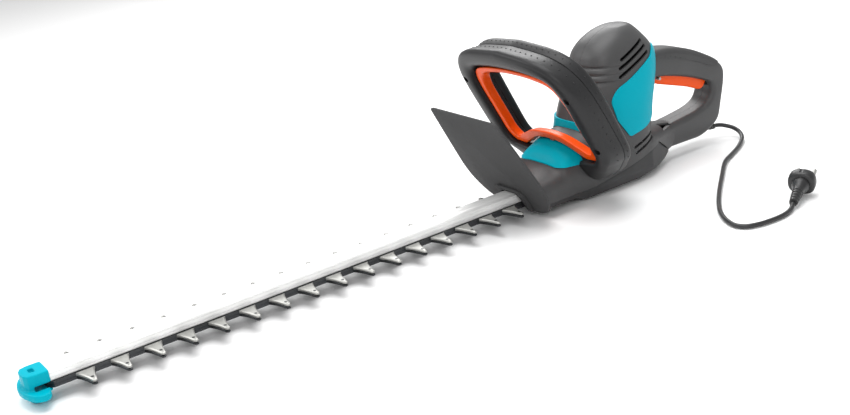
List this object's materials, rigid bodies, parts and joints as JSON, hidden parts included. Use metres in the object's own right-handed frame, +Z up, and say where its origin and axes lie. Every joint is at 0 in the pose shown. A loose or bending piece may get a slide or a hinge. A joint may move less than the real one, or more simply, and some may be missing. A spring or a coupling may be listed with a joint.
{
  "type": "electric hedge trimmer",
  "caption": "Corded hedge trimmer with double-sided reciprocating blades under an aluminium bar, a bail handle with a switch ring, an upright motor and a D-shaped rear handle.",
  "frame": {"origin": "on the flat underside of the base pan, below the motor's axis", "axes": "+X from the blade's tip to the rear handle, +Y to the machine's left, +Z up"},
  "size_m": [0.9835, 0.3582, 0.2094],
  "materials": {
    "bright_steel": "ground and satin",
    "dark_steel": "dark satin",
    "bar_aluminium": "anodised extrusion",
    "cast_aluminium": "as cast",
    "dark_plastic": "fine moulded texture",
    "black_plastic": "moulded",
    "bail_plastic": "fine moulded texture",
    "soft_grip": "soft, dotted",
    "teal_plastic": "semi-gloss",
    "orange_plastic": "semi-gloss",
    "laminations": "stamped sheet",
    "copper": "varnished wire",
    "cable_rubber": "smooth"
  },
  "bodies": {
    "root": {"guide_bar": "bar_aluminium", "tip_guard": "teal_plastic", "hand_guard": "dark_plastic", "gear_housing": "dark_plastic", "gear_cover_band": "teal_plastic", "base_pan": "black_plastic", "housing_left": "dark_plastic", "housing_right": "dark_plastic", "cord_gland": "cable_rubber", "side_panel_left": "teal_plastic", "side_panel_right": "teal_plastic", "collar": "teal_plastic", "bail_front_shell": "bail_plastic", "bail_rear_shell": "bail_plastic", "trigger_pin": "bright_steel", "grip_insert": "soft_grip", "bearing_plate": "cast_aluminium", "bar_bolt_1": "dark_steel", "stator": "laminations", "field_coil_left": "copper", "field_coil_right": "copper", "lower_bearing": "bright_steel", "upper_bearing": "bright_steel", "brush_left": "black_plastic", "brush_right": "black_plastic", "front_switch": "black_plastic", "rear_switch": "black_plastic", "capacitor": "teal_plastic", "terminal_block": "black_plastic", "cord": "cable_rubber", "plug": "cable_rubber", "plug_pin_1": "bright_steel", "plug_pin_2": "bright_steel", "blade_screw_1": "dark_steel", "blade_screw_2": "dark_steel", "blade_screw_3": "dark_steel", "blade_screw_4": "dark_steel", "blade_screw_5": "dark_steel", "blade_screw_6": "dark_steel", "blade_screw_7": "dark_steel", "bail_screw_1": "dark_steel", "bail_screw_2": "dark_steel", "bail_screw_3": "dark_steel", "bail_screw_4": "dark_steel"},
    "armature": {"motor_shaft": "bright_steel", "armature_core": "laminations", "armature_winding": "copper", "commutator": "copper", "fan": "black_plastic", "pinion": "bright_steel"},
    "gear": {"gear_wheel": "bright_steel", "gear_axle": "dark_steel", "upper_eccentric": "dark_steel", "lower_eccentric": "dark_steel"},
    "upper_rod_body": {"upper_rod": "bright_steel"},
    "lower_rod_body": {"lower_rod": "bright_steel"},
    "upper_blade_body": {"upper_blade": "bright_steel"},
    "lower_blade_body": {"lower_blade": "dark_steel"},
    "trigger_body": {"trigger": "orange_plastic"},
    "ring_body": {"switch_ring": "orange_plastic"}
  },
  "joints": [
    {"name": "armature_spin", "type": "hinge", "parent": "root", "child": "armature", "pos_m": [0, 0, 0], "axis": [0, 0, 1], "continuous": true},
    {"name": "gear_spin", "type": "hinge", "parent": "root", "child": "gear", "pos_m": [-0.035, 0, 0], "axis": [0, 0, 1], "continuous": true},
    {"name": "upper_rod_turn", "type": "hinge", "parent": "gear", "child": "upper_rod_body", "pos_m": [-0.035, 0.0045, 0], "axis": [0, 0, 1], "continuous": true},
    {"name": "lower_rod_turn", "type": "hinge", "parent": "gear", "child": "lower_rod_body", "pos_m": [-0.035, -0.0045, 0], "axis": [0, 0, 1], "continuous": true},
    {"name": "upper_blade_slide", "type": "slide", "parent": "root", "child": "upper_blade_body", "axis": [1, 0, 0], "range_m": [-0.0045, 0.0045]},
    {"name": "lower_blade_slide", "type": "slide", "parent": "root", "child": "lower_blade_body", "axis": [1, 0, 0], "range_m": [-0.0045, 0.0045]},
    {"name": "trigger_press", "type": "hinge", "parent": "root", "child": "trigger_body", "pos_m": [0.086, 0, 0.113], "axis": [0, -1, 0], "range_deg": [0, 3.5], "stiffness_Nm_per_rad": 1.5, "springref_deg": -5.73},
    {"name": "ring_pull", "type": "slide", "parent": "root", "child": "ring_body", "axis": [-0.475, 0, 0.88], "range_m": [0, 0.0025], "stiffness_N_per_m": 900, "springref_m": -0.003}
  ],
  "couplings": [
    {"joint": "gear_spin", "follows": "armature_spin", "ratio": -0.16667},
    {"joint": "upper_rod_turn", "follows": "armature_spin", "ratio": 0.16667},
    {"joint": "lower_rod_turn", "follows": "armature_spin", "ratio": 0.16667},
    {"joint": "lower_blade_slide", "follows": "upper_blade_slide", "ratio": -1}
  ]
}
